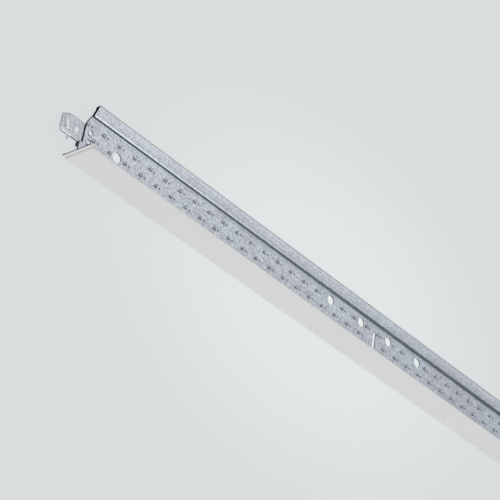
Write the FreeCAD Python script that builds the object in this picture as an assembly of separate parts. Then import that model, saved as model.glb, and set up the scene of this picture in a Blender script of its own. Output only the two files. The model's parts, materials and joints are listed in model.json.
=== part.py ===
"""Cross tee of a suspended ceiling grid: 24 mm face, 38 mm high, 600 mm module.

The tee is worked out in its section frame: X runs along the tee, Z runs from the
white face up to the bulb, and -Y is the side that shows the stitches.
At the end every piece is laid down on its +Y side, as a loose tee lies on a floor.
All sizes are in millimetres.
"""
import math
import os

import FreeCAD
import Part

# Driving sizes of the section
module_length = 600.0
face_width = 24.0
tee_height = 38.0
bulb_width = 6.6
bulb_height = 9.6
bulb_corner_radius = 0.6
strip_thickness = 0.35
cap_thickness = 0.30
cap_lip_width = 2.6
root_radius = 0.6
bulb_root_radius = 0.4

# The main runner that the ends rest on
runner_flange_width = 24.0

# Ends of the tee
tongue_length = 2.7
joggle_length = 0.8
foot_reach = 2.4
foot_top = 8.3
stop_reach = 2.2
stop_bottom = 5.0
stop_top = 8.1
slant_start_below_top = 14.8
slant_knee_below_top = 9.1
slant_knee_run = 2.6
slant_run = 5.5
far_bevel_start = 0.45
far_bevel_slope = 0.7

# Holes and slot in the web
end_hole_radius = 3.6
end_hole_from_module_line = 40.5
end_hole_height = 14.3
hanger_hole_radius = 3.3
hanger_hole_height = 22.6
hanger_hole_offsets = (15.75, 50.0)
slot_bottom = 6.9
slot_top = 22.5

# Stitches that lock the two layers of the web
stitch_pitch = 13.84
upper_row_height = 21.8
lower_row_height = 13.6
upper_row_offset = 3.7
stitch_width = 3.2
stitch_rise = 2.1
stitch_drop = 0.9
stitch_lean = 0.45
flap_lift = 0.55
head_facets = 6
dimple_from_flap = 3.7
dimple_rise = 0.3
dimple_radius = 0.8
dimple_facets = 8
stitch_margin = 0.3

# End clips
clip_thickness = 0.45
clip_bottom = 7.6
clip_top = 21.9
clip_reach = 18.4
clip_seat = 8.5
nose_bevel_length = 5.5
nose_bevel_drop = 3.0
nose_lower_bevel = 1.5
lip_depth = 1.0
lip_start = 3.2
lip_radius = 0.6
lug_drop = 2.4
lug_width = 1.5
lug_from_web_end = 10.7
window_start = 3.4
window_end = 7.6
window_bottom = 12.8
window_top = 17.3
window_bevel_length = 2.4
window_bevel_drop = 4.1
lance_root_from_nose = 2.8
lance_ramp_length = 2.0
lance_slit_width = 3.3
lance_bottom = 11.0
lance_top = 18.0
lance_lean = 0.25
lance_lift = 0.6
eyelet_from_web_end = 4.8
eyelet_heights = (11.0, 18.0)
eyelet_bore_radius = 1.7
eyelet_wall = 0.4
eyelet_rim_width = 0.5
eyelet_rim_height = 0.5

# Clearances
slot_clearance = 0.6
flap_clearance = 0.4
eyelet_clearance = 0.05
lance_clearance = 0.15
cut_margin = 1.0

# Sizes that follow
web_half = (module_length - runner_flange_width) / 2
layer = strip_thickness
flange_bottom = cap_thickness
flange_top = cap_thickness + strip_thickness
edge_radius = cap_thickness + strip_thickness / 2
flange_half = face_width / 2 - edge_radius
edge_height = 2 * edge_radius
bulb_half = bulb_width / 2
bulb_bottom = tee_height - bulb_height
slot_width = 2 * lip_depth + slot_clearance
lance_root = clip_reach - lance_root_from_nose
lance_edge = lance_root - lance_ramp_length
lance_start = lance_edge - lance_slit_width
tongue_step = edge_height
lower_row_offset = upper_row_offset - stitch_pitch / 2
eyelet_outer_radius = eyelet_bore_radius + eyelet_wall
eyelet_rim_radius = eyelet_outer_radius + eyelet_rim_width
end_hole_x = module_length / 2 - end_hole_from_module_line

along_x = FreeCAD.Vector(1, 0, 0)
along_y = FreeCAD.Vector(0, 1, 0)
along_z = FreeCAD.Vector(0, 0, 1)
origin = FreeCAD.Vector(0, 0, 0)


def block(x_range, y_range, z_range):
    """Box between two values on each axis."""
    low = FreeCAD.Vector(x_range[0], y_range[0], z_range[0])
    size_x = x_range[1] - x_range[0]
    size_y = y_range[1] - y_range[0]
    size_z = z_range[1] - z_range[0]
    return Part.makeBox(size_x, size_y, size_z, low)


def pin_hole(x, z, radius, y_range):
    """Cylinder across the web."""
    start = FreeCAD.Vector(x, y_range[0], z)
    return Part.makeCylinder(radius, y_range[1] - y_range[0], start, along_y)


def plate(outline, y_range):
    """Plate parallel to the web, from an outline of (x, z) points."""
    points = [FreeCAD.Vector(x, y_range[0], z) for x, z in outline]
    face = Part.Face(Part.makePolygon(points + points[:1]))
    return face.extrude(along_y * (y_range[1] - y_range[0]))


def rounded_wire(corners):
    """Closed wire across the tee, from (y, z, radius) corners."""
    spans = []
    count = len(corners)
    for index in range(count):
        before = corners[index - 1]
        corner = corners[index]
        after = corners[(index + 1) % count]
        point = FreeCAD.Vector(0, corner[0], corner[1])
        back = FreeCAD.Vector(0, before[0], before[1]) - point
        ahead = FreeCAD.Vector(0, after[0], after[1]) - point
        back.normalize()
        ahead.normalize()
        half_angle = back.getAngle(ahead) / 2
        trim = corner[2] / math.tan(half_angle)
        middle = back + ahead
        middle.normalize()
        depth = corner[2] / math.sin(half_angle) - corner[2]
        spans.append((point + back * trim, point + middle * depth, point + ahead * trim, corner[2]))
    edges = []
    for index in range(count):
        start, bend, end, radius = spans[index]
        if radius > 0:
            edges.append(Part.Arc(start, bend, end).toShape())
        edges.append(Part.makeLine(end, spans[(index + 1) % count][0]))
    return Part.Wire(edges)


def turned(shape):
    """The same piece at the other end of the tee."""
    other = shape.copy()
    other.rotate(origin, along_z, 180)
    return other


def tongue(section):
    """Flange end at -X, stepped up by one flange so that it lies on the runner's flange."""
    start = section.copy()
    start.translate(along_x * -web_half)
    rise = FreeCAD.Vector(-joggle_length, 0, tongue_step)
    step = start.extrude(rise)
    start.translate(rise)
    return step.fuse(start.extrude(along_x * (joggle_length - tongue_length)))


def body_section():
    """Rolled strip seen end on: flange, double web and hollow bulb."""
    outer = rounded_wire([
        (-flange_half, flange_bottom, 0),
        (flange_half, flange_bottom, 0),
        (flange_half, flange_top, 0),
        (layer, flange_top, root_radius),
        (layer, bulb_bottom, bulb_root_radius),
        (bulb_half, bulb_bottom, bulb_corner_radius),
        (bulb_half, tee_height, bulb_corner_radius),
        (-bulb_half, tee_height, bulb_corner_radius),
        (-bulb_half, bulb_bottom, bulb_corner_radius),
        (-layer, bulb_bottom, bulb_root_radius),
        (-layer, flange_top, root_radius),
        (-flange_half, flange_top, 0),
    ])
    inner_half = bulb_half - strip_thickness
    inner_radius = bulb_corner_radius - strip_thickness
    inner_low = bulb_bottom + strip_thickness
    inner_high = tee_height - strip_thickness
    inner = rounded_wire([
        (-inner_half, inner_low, inner_radius),
        (inner_half, inner_low, inner_radius),
        (inner_half, inner_high, inner_radius),
        (-inner_half, inner_high, inner_radius),
    ])
    return Part.Face(outer).cut(Part.Face(inner)).Faces[0]


def flange_section():
    """The flange of the strip alone."""
    return Part.Face(rounded_wire([
        (-flange_half, flange_bottom, 0),
        (flange_half, flange_bottom, 0),
        (flange_half, flange_top, 0),
        (-flange_half, flange_top, 0),
    ]))


def cap_section():
    """Painted cap seen end on: face plate with an open hem round each flange edge."""
    lip_end = flange_half - cap_lip_width
    middle = edge_radius
    inner_radius = strip_thickness / 2

    def at(y, z):
        return FreeCAD.Vector(0, y, z)

    edges = [Part.makeLine(at(-flange_half, 0), at(flange_half, 0))]
    outer_tip = at(flange_half + edge_radius, middle)
    edges.append(Part.Arc(at(flange_half, 0), outer_tip, at(flange_half, edge_height)).toShape())
    edges.append(Part.makeLine(at(flange_half, edge_height), at(lip_end, edge_height)))
    edges.append(Part.makeLine(at(lip_end, edge_height), at(lip_end, flange_top)))
    edges.append(Part.makeLine(at(lip_end, flange_top), at(flange_half, flange_top)))
    inner_tip = at(flange_half + inner_radius, middle)
    edges.append(Part.Arc(at(flange_half, flange_top), inner_tip, at(flange_half, flange_bottom)).toShape())
    edges.append(Part.makeLine(at(flange_half, flange_bottom), at(-flange_half, flange_bottom)))
    inner_tip = at(-flange_half - inner_radius, middle)
    edges.append(Part.Arc(at(-flange_half, flange_bottom), inner_tip, at(-flange_half, flange_top)).toShape())
    edges.append(Part.makeLine(at(-flange_half, flange_top), at(-lip_end, flange_top)))
    edges.append(Part.makeLine(at(-lip_end, flange_top), at(-lip_end, edge_height)))
    edges.append(Part.makeLine(at(-lip_end, edge_height), at(-flange_half, edge_height)))
    outer_tip = at(-flange_half - edge_radius, middle)
    edges.append(Part.Arc(at(-flange_half, edge_height), outer_tip, at(-flange_half, 0)).toShape())
    return Part.Face(Part.Wire(edges))


def arch(bottom, top, width):
    """Outline with a level bottom and a round head that leans to +X, as (x, z) points round a stitch."""
    radius = width / 2
    upright = [(radius, bottom), (-radius, bottom)]
    for step in range(head_facets + 1):
        angle = math.pi * (1 - step / head_facets)
        upright.append((radius * math.cos(angle), top - radius + radius * math.sin(angle)))
    return [(x + stitch_lean * z, z) for x, z in upright]


def shifted(outline, x, z):
    """Outline moved to a place on the web."""
    return [(x + point_x, z + point_z) for point_x, point_z in outline]


def stitch_opening(x, z):
    """Opening of a stitch, through the layer on the stitch side."""
    return plate(shifted(arch(-stitch_drop, stitch_rise, stitch_width), x, z), (-layer, 0))


def stitch_flap(x, z):
    """Flap in the opening: level with the web at its head, lifted at its lower edge."""
    width = stitch_width - 2 * flap_clearance
    rise = stitch_rise - flap_clearance
    slope = [
        FreeCAD.Vector(x - width, 0, z),
        FreeCAD.Vector(x - width, -layer - flap_lift, z),
        FreeCAD.Vector(x - width, -layer, z + rise),
        FreeCAD.Vector(x - width, 0, z + rise),
    ]
    wedge = Part.Face(Part.makePolygon(slope + slope[:1])).extrude(along_x * (2 * width))
    return plate(shifted(arch(0, rise, width), x, z), (-layer - flap_lift, 0)).common(wedge)


def stitch_dimple(x, z):
    """Small punch mark beside the flap."""
    outline = []
    for step in range(dimple_facets):
        angle = 2 * math.pi * step / dimple_facets
        outline.append((dimple_radius * math.cos(angle), dimple_radius * math.sin(angle)))
    return plate(shifted(outline, x, z), (-layer, 0))


def web_holes():
    """Every round hole through the web as (x, z, radius)."""
    holes = []
    for side in (-1, 1):
        holes.append((side * end_hole_x, end_hole_height, end_hole_radius))
        for offset in hanger_hole_offsets:
            holes.append((side * offset, hanger_hole_height, hanger_hole_radius))
        for height in eyelet_heights:
            eyelet_x = side * (web_half - eyelet_from_web_end)
            holes.append((eyelet_x, height, eyelet_outer_radius + eyelet_clearance))
    return holes


def stitch_fits(x, z, reach):
    """True where a mark of this half width stands clear of the holes, the slot and the end clips."""
    for hole_x, hole_z, hole_radius in web_holes():
        rim = max(hole_radius, eyelet_rim_radius)
        if math.hypot(x - hole_x, z - hole_z) < rim + reach + stitch_margin:
            return False
    if abs(x) < slot_width / 2 + reach + stitch_margin / 2 and z < slot_top + reach:
        return False
    if x > web_half - clip_seat - reach - stitch_margin:
        return False
    return x > reach / 2 - web_half


def stitches():
    """Flaps to add and openings to cut, for both rows over the whole web."""
    flaps = []
    openings = []
    count = math.ceil(web_half / stitch_pitch) + 1
    rows = ((upper_row_height, upper_row_offset), (lower_row_height, lower_row_offset))
    for height, offset in rows:
        middle = (stitch_rise - stitch_drop) / 2
        for index in range(-count, count + 1):
            x = offset + index * stitch_pitch
            if stitch_fits(x + stitch_lean * middle, height + middle, stitch_width / 2):
                flaps.append(stitch_flap(x, height))
                openings.append(stitch_opening(x, height))
            dimple_x = x + dimple_from_flap
            dimple_z = height + dimple_rise
            if stitch_fits(dimple_x, dimple_z, dimple_radius):
                openings.append(stitch_dimple(dimple_x, dimple_z))
    return flaps, openings


def end_slant():
    """Wedge with a knee taken off the upper web and the bulb at the -X end, bevelled back towards +Y."""
    start = tee_height - slant_start_below_top
    knee = tee_height - slant_knee_below_top
    top = tee_height + cut_margin
    run = slant_knee_run + (slant_run - slant_knee_run) * (top - knee) / slant_knee_below_top
    near_y = -bulb_half - cut_margin
    far_y = bulb_half + cut_margin
    outline = [
        (-web_half, start),
        (-web_half + slant_knee_run, knee),
        (-web_half + run, top),
        (-web_half - slant_run, top),
        (-web_half - slant_run, start),
    ]
    points = [FreeCAD.Vector(x, far_bevel_start, z) for x, z in outline]
    face = Part.Face(Part.makePolygon(points + points[:1]))
    bevel_depth = far_y - far_bevel_start
    bevel = face.extrude(FreeCAD.Vector(far_bevel_slope * bevel_depth, bevel_depth, 0))
    return plate(outline, (near_y, far_y)).fuse(bevel)


def end_foot():
    """Web carried on past the -X end over the runner's flange, bent round to +Y as a stop."""
    end = -web_half - foot_reach
    foot_bottom = flange_top + tongue_step - strip_thickness
    foot = block((end, -web_half + cut_margin), (-layer, layer), (foot_bottom, foot_top))
    stop = block((end, end + 2 * layer), (-layer, layer + stop_reach), (stop_bottom, stop_top))
    return foot.fuse(stop)


def make_body():
    """Galvanised body: bar, stepped flange ends, web feet, holes, slot and stitches."""
    section = body_section()
    section.translate(along_x * -web_half)
    bar = section.extrude(along_x * (2 * web_half))
    flange_end = tongue(flange_section())
    foot = end_foot()
    through = (-bulb_width, bulb_width)
    trim = block((-web_half - stitch_width, -web_half), through, (foot_top, tee_height))
    flaps, openings = stitches()
    body = bar.fuse([flange_end, foot, turned(flange_end), turned(foot)])
    cuts = [pin_hole(x, z, radius, through) for x, z, radius in web_holes()]
    cuts.append(block((-slot_width / 2, slot_width / 2), through, (slot_bottom, slot_top)))
    body = body.cut(cuts + openings).fuse(flaps)
    return body.cut([trim, end_slant(), turned(end_slant())]).removeSplitter().Solids[0]


def make_cap():
    """White cap over the whole face, stepped up at both ends with the flange."""
    section = cap_section()
    cap_end = tongue(section)
    section.translate(along_x * -web_half)
    bar = section.extrude(along_x * (2 * web_half))
    return bar.fuse([cap_end, turned(cap_end)]).removeSplitter().Solids[0]


def make_clip():
    """End clip at the -X end: plate on the +Y side of the web, staked through it by two eyelets."""

    def out(distance):
        return -web_half - distance

    near = layer
    far = layer + clip_thickness
    lip_height = clip_bottom + clip_thickness + lip_radius
    lip_end = clip_reach - nose_lower_bevel
    outline = [
        (out(-clip_seat), clip_bottom),
        (out(lip_start), clip_bottom),
        (out(lip_start), lip_height),
        (out(lip_end), lip_height),
        (out(lip_end), clip_bottom),
        (out(clip_reach), clip_bottom + nose_lower_bevel),
        (out(clip_reach), clip_top - nose_bevel_drop),
        (out(clip_reach - nose_bevel_length), clip_top),
        (out(-clip_seat), clip_top),
    ]
    clip = plate(outline, (near, far))

    lip = Part.Face(rounded_wire([
        (near, lip_height, 0),
        (near, clip_bottom, lip_radius),
        (near + lip_depth, clip_bottom, 0),
        (near + lip_depth, clip_bottom + clip_thickness, 0),
        (far, clip_bottom + clip_thickness, lip_radius / 2),
        (far, lip_height, 0),
    ]))
    lip.translate(along_x * out(lip_end))
    lip = lip.extrude(along_x * (lip_end - lip_start))
    lug_x = (out(lug_from_web_end + lug_width / 2), out(lug_from_web_end - lug_width / 2))
    lug_y = (near + lip_depth - clip_thickness, near + lip_depth)
    lug = block(lug_x, lug_y, (clip_bottom - lug_drop, clip_bottom + clip_thickness))

    window = plate([
        (out(window_start), window_bottom),
        (out(window_start), window_top),
        (out(window_end - window_bevel_length), window_top),
        (out(window_end), window_top - window_bevel_drop),
        (out(window_end), window_bottom),
    ], (near, far))
    lance_run = lance_lean * (lance_top - lance_bottom)
    lance_hole = plate([
        (out(lance_start), lance_bottom),
        (out(lance_start + lance_run), lance_top),
        (out(lance_root + lance_run), lance_top),
        (out(lance_root), lance_bottom),
    ], (near, far))

    ramp_low = lance_bottom + lance_clearance
    ramp_rise = lance_top - lance_clearance - ramp_low
    ramp_root = lance_root + lance_lean * lance_clearance
    ramp_edge = lance_edge + lance_lean * lance_clearance
    ramp = [
        FreeCAD.Vector(out(ramp_root), near, ramp_low),
        FreeCAD.Vector(out(ramp_edge), near - lance_lift, ramp_low),
        FreeCAD.Vector(out(ramp_edge), far - lance_lift, ramp_low),
        FreeCAD.Vector(out(ramp_root), far, ramp_low),
    ]
    ramp_along = FreeCAD.Vector(-lance_lean * ramp_rise, 0, ramp_rise)
    ramp = Part.Face(Part.makePolygon(ramp + ramp[:1])).extrude(ramp_along)

    adds = [lip, lug]
    bores = []
    rim_face = -layer - eyelet_rim_height
    for height in eyelet_heights:
        x = out(-eyelet_from_web_end)
        adds.append(pin_hole(x, height, eyelet_outer_radius, (rim_face, far)))
        adds.append(pin_hole(x, height, eyelet_rim_radius, (rim_face, -layer)))
        bores.append(pin_hole(x, height, eyelet_bore_radius, (rim_face - cut_margin, far + cut_margin)))
    clip = clip.cut([window, lance_hole]).fuse(adds + [ramp])
    return clip.cut(bores).removeSplitter().Solids[0]


def laid_down(shapes):
    """Turn the tee onto its +Y side and set the middle of its box on the origin."""
    edge_centre = (flange_half, edge_radius + tongue_step)
    bulb_centre = (bulb_half - bulb_corner_radius, tee_height - bulb_corner_radius)
    span_y = edge_centre[0] - bulb_centre[0]
    span_z = edge_centre[1] - bulb_centre[1]
    span = math.hypot(span_y, span_z)
    lean = math.atan2(span_z, span_y) + math.acos((bulb_corner_radius - edge_radius) / span)
    turn = -math.pi / 2 - lean

    def laid_y(y, z):
        return y * math.cos(turn) - z * math.sin(turn)

    def laid_z(y, z):
        return y * math.sin(turn) + z * math.cos(turn)

    floor = laid_z(*edge_centre) - edge_radius
    front = laid_y(flange_half, edge_radius) - edge_radius
    back = laid_y(-bulb_centre[0], bulb_centre[1]) + bulb_corner_radius
    shift = FreeCAD.Vector(0, -(front + back) / 2, -floor)
    for shape in shapes:
        shape.rotate(origin, along_x, math.degrees(turn))
        shape.translate(shift)


clip_left = make_clip()
nodes = {
    "tee_body": make_body(),
    "face_cap": make_cap(),
    "end_clip_left": clip_left,
    "end_clip_right": turned(clip_left),
}
laid_down(nodes.values())

os.makedirs("parts", exist_ok=True)
for node_name, node_shape in nodes.items():
    node_shape.exportStep("parts/" + node_name + ".step")
    box = node_shape.BoundBox
    print(node_name, node_shape.ShapeType, len(node_shape.Solids), node_shape.isValid(), len(node_shape.Faces))
    print("  volume", round(node_shape.Volume, 1), "x", round(box.XMin, 3), round(box.XMax, 3))
    print("  y", round(box.YMin, 3), round(box.YMax, 3), "z", round(box.ZMin, 3), round(box.ZMax, 3))
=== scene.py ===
import json

import bpy
from mathutils import Matrix, Vector

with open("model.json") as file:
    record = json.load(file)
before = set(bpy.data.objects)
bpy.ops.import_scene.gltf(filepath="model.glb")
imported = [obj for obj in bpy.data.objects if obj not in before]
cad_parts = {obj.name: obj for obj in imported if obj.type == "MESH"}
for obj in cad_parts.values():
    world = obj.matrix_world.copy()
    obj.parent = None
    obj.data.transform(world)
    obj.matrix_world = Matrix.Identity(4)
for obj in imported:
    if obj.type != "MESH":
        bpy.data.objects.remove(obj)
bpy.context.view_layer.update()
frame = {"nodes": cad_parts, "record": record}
nodes = frame["nodes"]
mounts = {mount["name"]: mount for mount in frame["record"]["mounts"]}
scene = bpy.context.scene
MM = 0.001

# How the tee lies: along and across it on the floor, out of the stitched web, and up from face to bulb
along_tee = Vector((1.0, 0.0, 0.0))
across_tee = Vector((0.0, 1.0, 0.0))
web_normal = Vector(mounts["slot"]["axis"])
web_level = web_normal.dot(Vector(mounts["slot"]["pos_m"]))
up_tee = -Vector(mounts["white_face"]["axis"])
face_level = up_tee.dot(Vector(mounts["white_face"]["pos_m"]))

# Body: heights above the white face
foot_bottom = 1.5 * MM
foot_top = 8.3 * MM
slant_start = 23.2 * MM
slant_knee = 28.9 * MM
bulb_root_start = 27.95 * MM
bulb_bottom = 28.4 * MM
# Painted light on the bulb's side, growing from the first height to the second
lit_side_start = 32.5 * MM
lit_side_full = 36.0 * MM
bulb_top = 38.0 * MM

# Body: distances along the tee from its middle
end_zone = 281.5 * MM
web_half = 288.0 * MM
foot_end = 290.4 * MM

# Body: sizes
slant_knee_run = 2.6 * MM
# Width of the painted shade along the web's end outline, and beside it on the clips
end_shade_width = 0.45 * MM
layer = 0.35 * MM
bulb_half = 3.3 * MM
skin = 0.25 * MM
cut_margin = 0.03 * MM

# Body: painted shade lines along the bulb, one down from its top and one up from its bottom
top_shade_start = 1.5 * MM
top_shade_full = 0.6 * MM
bend_shade_start = 1.1 * MM
bend_shade_full = 1.9 * MM
bend_shade_end = 4.0 * MM

# End clips: places, measured as on the body, and sizes
clip_top = 21.9 * MM
clip_nose = 306.4 * MM
clip_middle = 0.575 * MM
clip_half = 0.225 * MM
nose_bevel_length = 5.5 * MM
nose_bevel_drop = 3.0 * MM
# Painted shade round the clip's outline, full up to the first distance from the edge and gone at the second
edge_shade_full = 0.3 * MM
edge_shade_end = 0.9 * MM
eyelet_place = 283.2 * MM
eyelet_heights = (11.0 * MM, 18.0 * MM)
eyelet_reach = 1.75 * MM
mouth_start = 0.1 * MM

# Facing: cosines between a facet's normal and a direction, as the limits of a mark
end_facing = 0.8
underside_facing = (0.80, 0.97)
bend_facing = (0.12, 0.9)
top_shade_facing = (-0.9, 0.3)
wall_shade_facing = 0.5
cut_edge_facing = 0.2
lip_bend_facing = (0.12, 0.78)
lance_facing_along = (0.15, 0.5)
lance_facing_out = 0.8
bore_facing = 0.3
hem_shade_facing = (0.15, 0.6)

# Zinc: dark spangle, light spangle and the tint of light patches
body_zinc = ((0.389, 0.417, 0.471), (0.684, 0.724, 0.797), (0.663, 0.733, 0.788))
clip_zinc = ((0.374, 0.391, 0.436), (0.632, 0.66, 0.716), (0.622, 0.66, 0.695))

# Tones laid over the zinc, and how strongly they cover it: most are painted shade, one is painted light high
# on the bulb, the others are burnished bends and bright eyelet bores
# Painted shade on the bulb's underside
underside_shade_zinc = (0.185, 0.212, 0.22)
shaded_zinc = (0.08, 0.085, 0.09)
# Painted shade for the bulb's lower side, its top edge, the band above its lower bend and the clip's outline
line_shade_zinc = (0.32, 0.34, 0.355)
# Painted light high on the bulb's side
painted_light_zinc = (0.80, 0.83, 0.88)
burnished_zinc = (0.62, 0.62, 0.62)
# Painted shade in recesses: inside the web's stitch openings and holes, on the clip's cut edges and on its
# lance
recess_shade_steel = (0.32, 0.33, 0.35)
# Painted shade, darker still, on the walls of holes, slot and stitch openings
wall_shade_steel = (0.08, 0.085, 0.09)
# Near-black: bare cut steel darkened with painted shade on cut ends, and painted shade inside the bulb,
# along the web's end and in eyelet mouths
cut_steel_and_shade = (0.02, 0.021, 0.023)
bare_steel = (0.95, 0.96, 0.97)
# Painted shade: how much darker the bulb's side grows towards its bottom
bulb_low_shade = 0.12
# How strongly the painted light covers the bulb's upper side
lit_side_share = 0.18
# How strongly the painted shade above the bulb's lower bend covers the zinc
bend_shade_strength = 0.28
burnished_share = 0.5
# How strongly painted shade covers the tilted face of the clip's lance
lance_shade_strength = 0.75

# Grain and finish of the zinc, with scales as counts per metre
spangle_size = 1.1 * MM
speckles_per_spangle = 1.6
speckle_detail = 3.0
streak_stretch = (12.0, 700.0, 700.0)
streak_scale = 1.0
streak_detail = 2.0
patch_scale = 60.0
patch_detail = 2.0
spangle_share = 0.30
speckle_share = 0.55
streak_share = 0.25
patch_share = 0.15
patch_range = (0.35, 0.65)
tone_range = (0.40, 0.85)
grain_range = (0.3, 0.7)
grain_roughness = (0.42, 0.58)
burnished_roughness = 0.2
flat_metallic = 0.35
burnished_metallic = 1.0
zinc_relief = 0.02 * MM
zinc_relief_strength = 0.5

# White coil paint, with painted shade on the bends of the hem
paint_white = (0.725, 0.715, 0.705)
paint_patch_tone = 0.95
paint_patch_scale = 25.0
paint_patch_detail = 3.0
paint_roughness = 0.55
hem_shade_tone = 0.75
peel_scale = 1500.0
peel_detail = 2.0
peel_relief = 0.01 * MM
peel_strength = 0.4

# Floor: a light table, brighter round the middle of the tee and in a strip under the web
# A range of four numbers is two limits and the value at each
floor_size = 40.0
floor_tone = (0.02, 0.02, 0.02, 1.0)
floor_roughness = 0.9
floor_glow_colour = (0.955, 0.99, 1.0, 1.0)
glow_middle = Vector((-0.05, 0.0, 0.0))
glow_stretch = (1.0, 1.6, 1.0)
glow_reach = (0.06, 0.24)
glow_strength = (0.765, 0.69)
strip_middle_y = 0.008
strip_y = (0.010, 0.016, 1.0, 0.0)
strip_x = (0.262, 0.275, 1.0, 0.0)
strip_gain = 0.07

# Sky: an even light, a glow behind the bulb, a glow low in front and a soft box overhead
# All of them fade far towards +X, and a glow is a direction, two limits of closeness and a strength
sky_base = 0.34
sky_base_x = (0.50, 0.70, 1.0, 0.20)
sky_lobes = (
    ((0.10, 0.85, 0.50), 0.45, 1.0, 0.25),
    ((0.30, -0.94, 0.15), 0.50, 0.95, 1.10),
)
lobe_x = (0.56, 0.70, 1.0, 0.7)
soft_box_x = ((0.525, 0.655, 1.0, 0.0), (-0.10, 0.20, 0.0, 1.0))
soft_box_middle_y = -0.05
soft_box_y = (0.60, 0.80, 1.0, 0.0)
soft_box_power = 1.6
sky_tint_x = (0.45, 0.75)
sky_tint_near = (0.97, 0.98, 1.0)
sky_tint_far = (0.84, 0.95, 1.0)

# Lamp: one soft warm disc above the -X end, so that the web grows darker towards +X
lamp_place = Vector((-0.42, 0.15, 0.55))
lamp_target = Vector((-0.18, 0.0, 0.01))
lamp_size = 0.4
lamp_power = 1.0
lamp_colour = (1.0, 0.85, 0.77)

# Camera, fitted to the photograph
camera_place = Vector((-0.835343, -0.397452, 0.842836))
camera_right = Vector((0.645632, 0.318775, 0.693932))
camera_down = Vector((0.466568, -0.884042, -0.027987))
camera_forward = Vector((0.604544, 0.341836, -0.719497))
lens_mm = 127.802
sensor_mm = 36.0
nearest_seen = 0.01
farthest_seen = 50.0

# Places of the colour sockets on a mix node, two in and one out
first_colour = 6
second_colour = 7
mixed_colour = 2


def new_material(name):
    """Node material with its shader."""
    material = bpy.data.materials.new(name)
    material.use_nodes = True
    tree = material.node_tree
    return material, tree, tree.nodes["Principled BSDF"]


def feed(tree, socket, value):
    """Link a socket to another one, or set it to a constant."""
    if isinstance(value, bpy.types.NodeSocket):
        tree.links.new(value, socket)
    else:
        socket.default_value = value


def calc(tree, operation, *values):
    """Math node on sockets and numbers."""
    made = tree.nodes.new("ShaderNodeMath")
    made.operation = operation
    for socket, value in zip(made.inputs, values):
        feed(tree, socket, value)
    return made.outputs[0]


def above(tree, value, limit):
    """One where a value is greater than a limit."""
    return calc(tree, "GREATER_THAN", value, limit)


def below(tree, value, limit):
    """One where a value is less than a limit."""
    return calc(tree, "LESS_THAN", value, limit)


def both(tree, *masks):
    """One where all masks are one."""
    result = masks[0]
    for mask in masks[1:]:
        result = calc(tree, "MULTIPLY", result, mask)
    return result


def either(tree, *masks):
    """Greatest of the masks."""
    result = masks[0]
    for mask in masks[1:]:
        result = calc(tree, "MAXIMUM", result, mask)
    return result


def within(tree, value, low, high):
    """One where a value lies between two limits."""
    return both(tree, above(tree, value, low), below(tree, value, high))


def spread(tree, value, low, high, new_low=0.0, new_high=1.0):
    """Value moved smoothly from one range to another and held inside it."""
    made = tree.nodes.new("ShaderNodeMapRange")
    made.interpolation_type = "SMOOTHSTEP"
    for socket, number in zip(made.inputs, (value, low, high, new_low, new_high)):
        feed(tree, socket, number)
    return made.outputs[0]


def level(tree, place, direction, zero=0.0):
    """Distance of a place along a direction from a zero level."""
    made = tree.nodes.new("ShaderNodeVectorMath")
    made.operation = "DOT_PRODUCT"
    feed(tree, made.inputs[0], place)
    made.inputs[1].default_value = direction
    return calc(tree, "SUBTRACT", made.outputs["Value"], zero)


def facing(tree, normal, direction):
    """How squarely a facet looks along a direction, either way."""
    return calc(tree, "ABSOLUTE", level(tree, normal, direction))


def axes(tree, place):
    """The three coordinates of a place."""
    split = tree.nodes.new("ShaderNodeSeparateXYZ")
    feed(tree, split.inputs[0], place)
    return split.outputs


def stretched(tree, place, scale):
    """Place scaled along each axis."""
    made = tree.nodes.new("ShaderNodeMapping")
    made.vector_type = "POINT"
    feed(tree, made.inputs["Vector"], place)
    made.inputs["Scale"].default_value = scale
    return made.outputs["Vector"]


def noise(tree, place, scale, detail):
    """Noise from 0 to 1."""
    made = tree.nodes.new("ShaderNodeTexNoise")
    feed(tree, made.inputs["Vector"], place)
    made.inputs["Scale"].default_value = scale
    made.inputs["Detail"].default_value = detail
    return made.outputs["Fac"]


def cells(tree, place, scale):
    """Random grey per cell, from 0 to 1."""
    made = tree.nodes.new("ShaderNodeTexVoronoi")
    feed(tree, made.inputs["Vector"], place)
    made.inputs["Scale"].default_value = scale
    split = tree.nodes.new("ShaderNodeSeparateColor")
    feed(tree, split.inputs[0], made.outputs["Color"])
    return split.outputs[0]


def mixed(tree, factor, first, second):
    """Colour between two colours."""
    made = tree.nodes.new("ShaderNodeMix")
    made.data_type = "RGBA"
    feed(tree, made.inputs["Factor"], factor)
    for socket, colour in ((first_colour, first), (second_colour, second)):
        feed(tree, made.inputs[socket], (*colour, 1.0) if isinstance(colour, tuple) else colour)
    return made.outputs[mixed_colour]


def covered(tree, colour, *coats):
    """Colour with tones laid over it in turn, each by its mask."""
    for mask, tone in coats:
        colour = mixed(tree, mask, colour, tone)
    return colour


def toned(colour, tone):
    """Colour made darker or lighter by a factor."""
    return tuple(tone * part for part in colour)


def bump(tree, shader, height, distance, strength):
    """Fine relief on a shader."""
    made = tree.nodes.new("ShaderNodeBump")
    feed(tree, made.inputs["Height"], height)
    made.inputs["Distance"].default_value = distance
    made.inputs["Strength"].default_value = strength
    feed(tree, shader.inputs["Normal"], made.outputs["Normal"])


def surface(tree):
    """Place on the tee, distance along it from its middle, and the flat normal."""
    place = tree.nodes.new("ShaderNodeTexCoord").outputs["Object"]
    along = calc(tree, "ABSOLUTE", axes(tree, place)["X"])
    normal = tree.nodes.new("ShaderNodeNewGeometry").outputs["True Normal"]
    return place, along, normal


def end_faces(tree, along, normal):
    """One on the faces that look out of the ends of the tee."""
    return both(tree, above(tree, facing(tree, normal, along_tee), end_facing), above(tree, along, end_zone))


def web_depth(tree, place):
    """Distance from the middle plane of the web, on either side."""
    return calc(tree, "ABSOLUTE", level(tree, place, web_normal, web_level))


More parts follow.
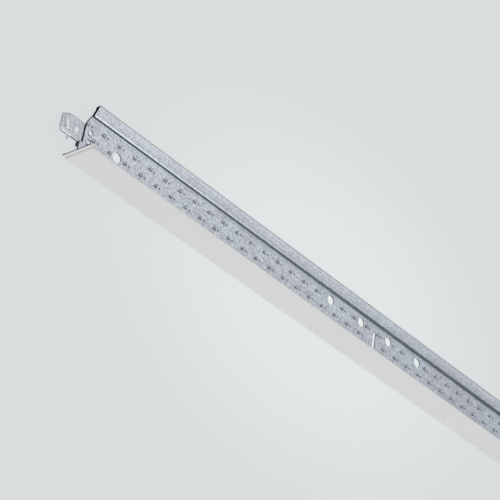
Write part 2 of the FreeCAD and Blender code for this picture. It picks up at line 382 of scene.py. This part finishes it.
def bulb_light_and_shade(tree, height, looks_down, colour):
    """Colour with painted light high on the bulb's side and painted shade low on it, on its underside and
    along its top edge; and where its underside is.
    """
    on_bulb = above(tree, height, bulb_bottom - cut_margin)
    # Painted shade on the bulb's underside
    underside = both(tree, spread(tree, looks_down, *underside_facing), on_bulb)
    # Painted shade, darkening the bulb's side towards its bottom
    low_side_shade = both(tree, spread(tree, height, bulb_bottom, bulb_top, bulb_low_shade, 0.0), on_bulb)
    # Painted light on the upper side of the bulb
    upper_side_light = spread(tree, height, lit_side_start, lit_side_full, 0.0, lit_side_share)
    # Painted shade in a band above the bulb's lower bend
    over_bend = calc(tree, "SUBTRACT", height, bulb_bottom)
    bend_shade_band = both(tree, spread(tree, over_bend, bend_shade_start, bend_shade_full),
                     spread(tree, over_bend, bend_shade_full, bend_shade_end, bend_shade_strength, 0.0))
    # Painted shade along the bulb's top edge
    top_edge_shade = both(tree, spread(tree, height, bulb_top - top_shade_start, bulb_top - top_shade_full),
                    within(tree, looks_down, *top_shade_facing))
    colour = covered(tree, colour, (low_side_shade, line_shade_zinc), (upper_side_light, painted_light_zinc),
                     (bend_shade_band, line_shade_zinc), (underside, underside_shade_zinc), (top_edge_shade, line_shade_zinc))
    return colour, underside


def cut_and_shaded_faces(tree, height, depth, along, normal):
    """One on the cut ends of the body, bare steel darkened with painted shade, on painted shade along its
    shaped outline at the ends, and on painted shade inside the bulb.
    """
    inside = both(tree, within(tree, height, bulb_bottom + skin, bulb_top - skin),
                  below(tree, depth, bulb_half - skin))
    past_slant = calc(tree, "MAXIMUM", calc(tree, "SUBTRACT", height, slant_start), 0.0)
    slope = slant_knee_run / (slant_knee - slant_start)
    to_web_end = calc(tree, "MULTIPLY_ADD", past_slant, slope, calc(tree, "SUBTRACT", along, web_half))
    # Painted shade along the web's end and the foot's end on the near face
    web_end_shade = both(tree, above(tree, to_web_end, -end_shade_width), within(tree, height, foot_top, slant_knee))
    foot_end_shade = both(tree, above(tree, along, foot_end - end_shade_width),
                     within(tree, height, foot_bottom, foot_top))
    return either(tree, end_faces(tree, along, normal), inside, web_end_shade, foot_end_shade)


def body_marks(tree, place, along, normal, zinc):
    """Body's colour with painted light and shade on its bulb, painted shade in its recesses, on hole walls
    and cut ends, and where its bends are burnished bare.
    """
    height = level(tree, place, up_tee, face_level)
    depth = web_depth(tree, place)
    looks_down = level(tree, normal, -up_tee)
    colour, underside = bulb_light_and_shade(tree, height, looks_down, zinc)
    # Painted shade on every face between the web's two outer faces, below the bulb
    recess_shade = both(tree, below(tree, depth, layer - cut_margin), below(tree, height, bulb_bottom))
    # Painted shade on the walls of the web's holes, slot and stitch openings
    wall_shade = both(tree, recess_shade, below(tree, facing(tree, normal, web_normal), wall_shade_facing))
    bends = both(tree, within(tree, looks_down, *bend_facing), above(tree, height, bulb_root_start))
    bare_bends = calc(tree, "MULTIPLY", bends, burnished_share)
    cut_and_shade = cut_and_shaded_faces(tree, height, depth, along, normal)
    colour = covered(tree, colour, (recess_shade, recess_shade_steel), (wall_shade, wall_shade_steel),
                     (bare_bends, burnished_zinc), (cut_and_shade, cut_steel_and_shade))
    return colour, either(tree, bends, underside)


def clip_edge_shade(tree, height, along):
    """One along the nose, the bevel and the top of the clip, fading inwards, for painted shade."""
    to_nose = calc(tree, "SUBTRACT", clip_nose, along)
    to_top = calc(tree, "SUBTRACT", clip_top, height)
    bevel_normal = Vector((nose_bevel_drop, nose_bevel_length)).normalized()
    to_bevel = calc(tree, "MULTIPLY", to_nose, bevel_normal.x)
    to_bevel = calc(tree, "MULTIPLY_ADD", to_top, bevel_normal.y, to_bevel)
    to_bevel = calc(tree, "SUBTRACT", to_bevel, nose_bevel_drop * bevel_normal.y)
    to_edge = calc(tree, "MINIMUM", calc(tree, "MINIMUM", to_nose, to_top), to_bevel)
    return spread(tree, to_edge, edge_shade_full, edge_shade_end, 1.0, 0.0)


def eyelet_bores(tree, place, height, along, looks_out):
    """One in the bores of the two eyelets, and one in their mouths on the side away from the clip."""
    beside = within(tree, along, eyelet_place - eyelet_reach, eyelet_place + eyelet_reach)
    levels = [within(tree, height, middle - eyelet_reach, middle + eyelet_reach)
              for middle in eyelet_heights]
    bores = both(tree, beside, below(tree, looks_out, bore_facing), either(tree, *levels))
    end_side = calc(tree, "SIGN", level(tree, place, along_tee))
    rim_depth = calc(tree, "MULTIPLY", end_side, level(tree, place, -web_normal, -web_level))
    return bores, both(tree, bores, above(tree, rim_depth, mouth_start))


def clip_marks(tree, place, along, normal, zinc):
    """Clip's colour with painted shade on its edges, lance, lip underside, eyelet mouths and along the web's
    end, bright eyelet bores, and where it is burnished.
    """
    height = level(tree, place, up_tee, face_level)
    looks_down = level(tree, normal, -up_tee)
    looks_out = facing(tree, normal, web_normal)
    off_middle = calc(tree, "ABSOLUTE", calc(tree, "SUBTRACT", web_depth(tree, place), clip_middle))
    # Painted shade on the clip's cut edges
    cut_edges = both(tree, below(tree, off_middle, clip_half - cut_margin),
                     below(tree, looks_out, cut_edge_facing), above(tree, along, web_half))
    lance = both(tree, within(tree, facing(tree, normal, along_tee), *lance_facing_along),
                 above(tree, looks_out, lance_facing_out))
    # Painted shade on the tilted face of the lance
    lance_shade = calc(tree, "MULTIPLY", lance, lance_shade_strength)
    under_lip = above(tree, looks_down, lip_bend_facing[1])
    # Painted shadow on the clip where it leaves the web's end
    web_end_shadow = within(tree, along, web_half, web_half + end_shade_width)
    # The eyelet mouths away from the clip take near-black painted shade
    bores, mouths = eyelet_bores(tree, place, height, along, looks_out)
    colour = covered(tree, zinc, (clip_edge_shade(tree, height, along), line_shade_zinc),
                     (cut_edges, recess_shade_steel), (lance_shade, recess_shade_steel), (under_lip, shaded_zinc),
                     (web_end_shadow, cut_steel_and_shade), (bores, bare_steel), (mouths, cut_steel_and_shade))
    lip_bend = both(tree, within(tree, looks_down, *lip_bend_facing), calc(tree, "SUBTRACT", 1.0, bores))
    bright_bores = calc(tree, "SUBTRACT", bores, mouths)
    return colour, calc(tree, "ADD", lip_bend, bright_bores)


def galvanised(name, tones, marks):
    """Zinc-coated strip: spangle, rolling streaks along the tee, and the painted light and shade laid on by
    its marks.
    """
    dark, light, tinted = tones
    material, tree, shader = new_material(name)
    place, along, normal = surface(tree)
    spangle = cells(tree, place, 1.0 / spangle_size)
    speckle = noise(tree, place, speckles_per_spangle / spangle_size, speckle_detail)
    streaks = noise(tree, stretched(tree, place, streak_stretch), streak_scale, streak_detail)
    patches = noise(tree, place, patch_scale, patch_detail)
    tone = calc(tree, "MULTIPLY", spangle, spangle_share)
    for grey, share in ((speckle, speckle_share), (streaks, streak_share), (patches, patch_share)):
        tone = calc(tree, "MULTIPLY_ADD", grey, share, tone)
    bright = mixed(tree, spread(tree, patches, *patch_range), light, tinted)
    zinc = mixed(tree, spread(tree, tone, *tone_range), dark, bright)
    colour, burnished = marks(tree, place, along, normal, zinc)
    grain = spread(tree, speckle, *grain_range, *grain_roughness)
    smoother = calc(tree, "MULTIPLY", burnished, calc(tree, "SUBTRACT", burnished_roughness, grain))
    metallic = spread(tree, burnished, 0.0, 1.0, flat_metallic, burnished_metallic)
    feed(tree, shader.inputs["Base Color"], colour)
    feed(tree, shader.inputs["Roughness"], calc(tree, "ADD", grain, smoother))
    feed(tree, shader.inputs["Metallic"], metallic)
    bump(tree, shader, calc(tree, "ADD", speckle, streaks), zinc_relief, zinc_relief_strength)
    return material


def painted(name, light):
    """Matt white coil paint with a faint orange peel, painted shade on the hem bends, and cut ends of bare
    steel darkened with painted shade.
    """
    material, tree, shader = new_material(name)
    place, along, normal = surface(tree)
    patches = noise(tree, place, paint_patch_scale, paint_patch_detail)
    hem_shade = spread(tree, facing(tree, normal, web_normal), *hem_shade_facing)
    paint = mixed(tree, patches, toned(light, paint_patch_tone), light)
    colour = covered(tree, paint, (hem_shade, toned(light, hem_shade_tone)),
                     (end_faces(tree, along, normal), cut_steel_and_shade))
    feed(tree, shader.inputs["Base Color"], colour)
    shader.inputs["Roughness"].default_value = paint_roughness
    bump(tree, shader, noise(tree, place, peel_scale, peel_detail), peel_relief, peel_strength)
    return material


def dress_nodes():
    """Give each piece of the tee its material."""
    looks = {
        "tee_body": galvanised("galvanised_steel", body_zinc, body_marks),
        "face_cap": painted("white_paint", paint_white),
        "end_clip_left": galvanised("clip_steel", clip_zinc, clip_marks),
    }
    looks["end_clip_right"] = looks["end_clip_left"]
    for name, look in looks.items():
        materials = nodes[name].data.materials
        for index in range(len(materials)):
            materials[index] = look


def lay_floor():
    """Light table under the tee."""
    bpy.ops.mesh.primitive_plane_add(size=floor_size, location=(0.0, 0.0, 0.0))
    floor = bpy.context.object
    floor.name = "floor"
    look, tree, shader = new_material("floor_paper")
    shader.inputs["Base Color"].default_value = floor_tone
    shader.inputs["Roughness"].default_value = floor_roughness
    shader.inputs["Emission Color"].default_value = floor_glow_colour
    place = tree.nodes.new("ShaderNodeTexCoord").outputs["Object"]
    from_middle = tree.nodes.new("ShaderNodeVectorMath")
    from_middle.operation = "DISTANCE"
    feed(tree, from_middle.inputs[0], stretched(tree, place, glow_stretch))
    from_middle.inputs[1].default_value = glow_middle
    glow = spread(tree, from_middle.outputs["Value"], *glow_reach, *glow_strength)
    parts = axes(tree, place)
    off_strip = calc(tree, "ABSOLUTE", calc(tree, "SUBTRACT", parts["Y"], strip_middle_y))
    along = calc(tree, "ABSOLUTE", parts["X"])
    under_web = both(tree, spread(tree, off_strip, *strip_y), spread(tree, along, *strip_x))
    glow = calc(tree, "MULTIPLY_ADD", under_web, strip_gain, glow)
    feed(tree, shader.inputs["Emission Strength"], glow)
    floor.data.materials.append(look)


def light_sky():
    """Soft light from the sky."""
    world = bpy.data.worlds.new("studio")
    scene.world = world
    world.use_nodes = True
    tree = world.node_tree
    direction = tree.nodes.new("ShaderNodeTexCoord").outputs["Generated"]
    toward_x = level(tree, direction, along_tee)
    strength = calc(tree, "MULTIPLY", spread(tree, toward_x, *sky_base_x), sky_base)
    lobe_share = spread(tree, toward_x, *lobe_x)
    for toward, start, full, amount in sky_lobes:
        closeness = level(tree, direction, Vector(toward).normalized())
        lobe = spread(tree, closeness, start, full, 0.0, amount)
        strength = calc(tree, "MULTIPLY_ADD", lobe, lobe_share, strength)
    off_box = calc(tree, "ABSOLUTE", level(tree, direction, across_tee, soft_box_middle_y))
    soft_box = spread(tree, off_box, *soft_box_y)
    for limits in soft_box_x:
        soft_box = both(tree, soft_box, spread(tree, toward_x, *limits))
    strength = calc(tree, "MULTIPLY_ADD", soft_box, soft_box_power, strength)
    tint = mixed(tree, spread(tree, toward_x, *sky_tint_x), sky_tint_near, sky_tint_far)
    background = tree.nodes["Background"]
    feed(tree, background.inputs["Color"], tint)
    feed(tree, background.inputs["Strength"], strength)


def hang_lamp():
    """Soft warm lamp above the -X end."""
    data = bpy.data.lights.new("lamp", "AREA")
    data.shape = "DISK"
    data.size = lamp_size
    data.energy = lamp_power
    data.color = lamp_colour
    lamp = bpy.data.objects.new("lamp", data)
    scene.collection.objects.link(lamp)
    turn = (lamp_target - lamp_place).to_track_quat("-Z", "Y").to_matrix()
    lamp.matrix_world = Matrix.Translation(lamp_place) @ turn.to_4x4()


def set_camera():
    """Camera at the photograph's place and angle."""
    data = bpy.data.cameras.new("photo_camera")
    data.lens = lens_mm
    data.sensor_width = sensor_mm
    data.sensor_fit = "HORIZONTAL"
    data.clip_start = nearest_seen
    data.clip_end = farthest_seen
    camera = bpy.data.objects.new("photo_camera", data)
    scene.collection.objects.link(camera)
    turn = Matrix((camera_right, -camera_down, -camera_forward)).transposed()
    camera.matrix_world = Matrix.Translation(camera_place) @ turn.to_4x4()
    scene.camera = camera


dress_nodes()
lay_floor()
light_sky()
hang_lamp()
set_camera()
scene.view_settings.view_transform = "Standard"
